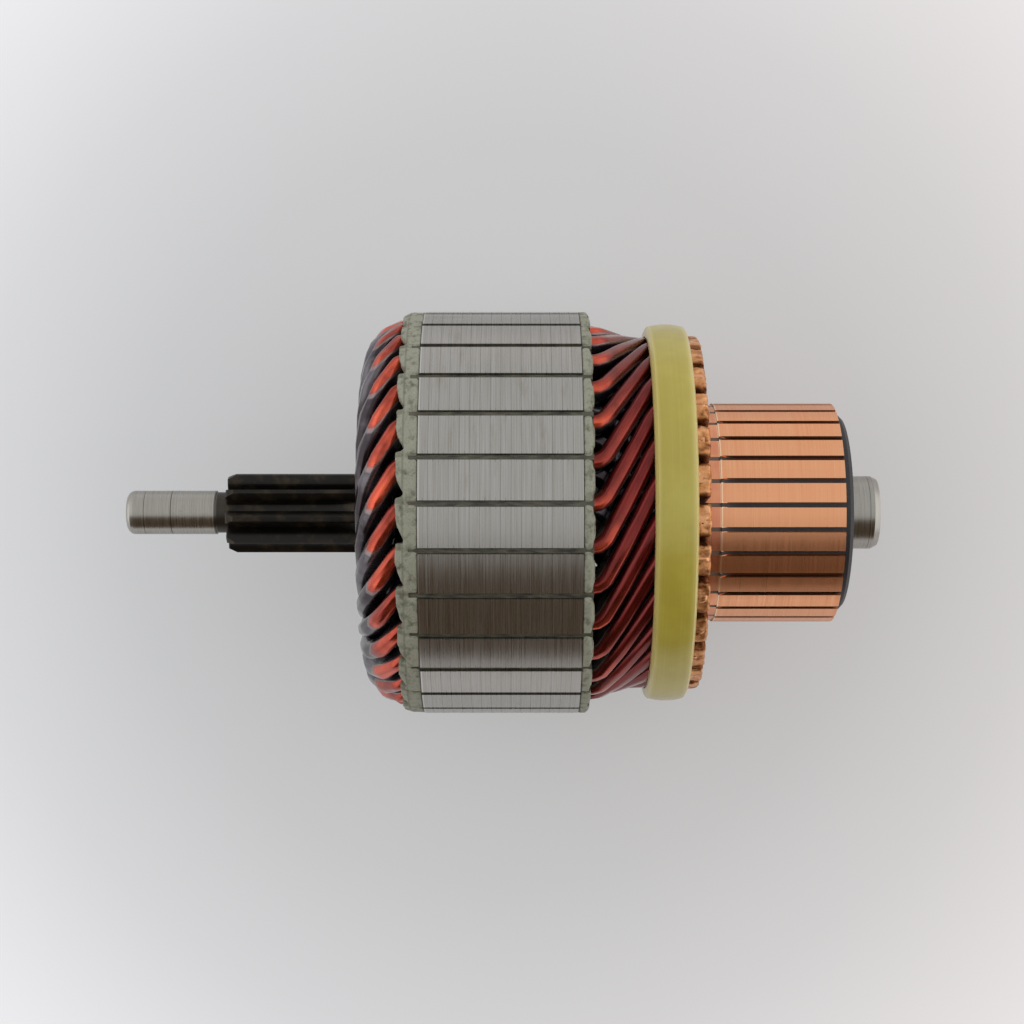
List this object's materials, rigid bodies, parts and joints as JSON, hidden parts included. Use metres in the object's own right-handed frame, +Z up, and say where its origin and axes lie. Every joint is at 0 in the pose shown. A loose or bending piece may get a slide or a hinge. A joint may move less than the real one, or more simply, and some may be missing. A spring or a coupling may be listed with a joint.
{
  "type": "motor armature",
  "caption": "Armature of a geared starter motor: laminated core with hairpin winding, moulded copper commutator, and a shaft with a sun gear at its drive end.",
  "frame": {"origin": "on the shaft's axis, in the middle of the armature's length, which is also the middle of the core", "axes": "+X along the shaft from the drive end with the gear to the commutator end; +Z straight up from the axis as the part lies; +Y completes the right-handed frame"},
  "size_m": [0.1028, 0.055, 0.055],
  "materials": {
    "shaft_steel": "ground steel on the journals and pilot, blackened steel on the gear",
    "core_steel": "turned edges of thin steel sheets with fine lines round the core",
    "end_plate": "greenish white insulating board with resin on it",
    "slot_liner": "grey-green insulating paper soaked in resin",
    "enamelled_wire": "glossy wine-red enamel on copper",
    "glass_band": "smooth yellow-green resin over glass roving",
    "copper": "fine-turned bright copper, browned on the risers",
    "moulding": "dark grey moulded phenolic",
    "bush_steel": "machined steel",
    "ring_glass": "glass fibre and resin"
  },
  "bodies": {
    "root": {"shaft": "shaft_steel", "core_laminations": "core_steel", "drive_end_insulator": "end_plate", "commutator_end_insulator": "end_plate", "slot_liners": "slot_liner", "coil_01": "enamelled_wire", "coil_02": "enamelled_wire", "coil_03": "enamelled_wire", "coil_04": "enamelled_wire", "coil_05": "enamelled_wire", "coil_06": "enamelled_wire", "coil_07": "enamelled_wire", "coil_08": "enamelled_wire", "coil_09": "enamelled_wire", "coil_10": "enamelled_wire", "coil_11": "enamelled_wire", "coil_12": "enamelled_wire", "coil_13": "enamelled_wire", "coil_14": "enamelled_wire", "coil_15": "enamelled_wire", "coil_16": "enamelled_wire", "coil_17": "enamelled_wire", "coil_18": "enamelled_wire", "coil_19": "enamelled_wire", "coil_20": "enamelled_wire", "coil_21": "enamelled_wire", "coil_22": "enamelled_wire", "coil_23": "enamelled_wire", "coil_24": "enamelled_wire", "coil_25": "enamelled_wire", "coil_26": "enamelled_wire", "coil_27": "enamelled_wire", "coil_28": "enamelled_wire", "coil_29": "enamelled_wire", "glass_band": "glass_band", "commutator_bars": "copper", "commutator_moulding": "moulding", "commutator_bush": "bush_steel", "riser_side_ring": "ring_glass", "boss_side_ring": "ring_glass"}
  },
  "joints": []
}
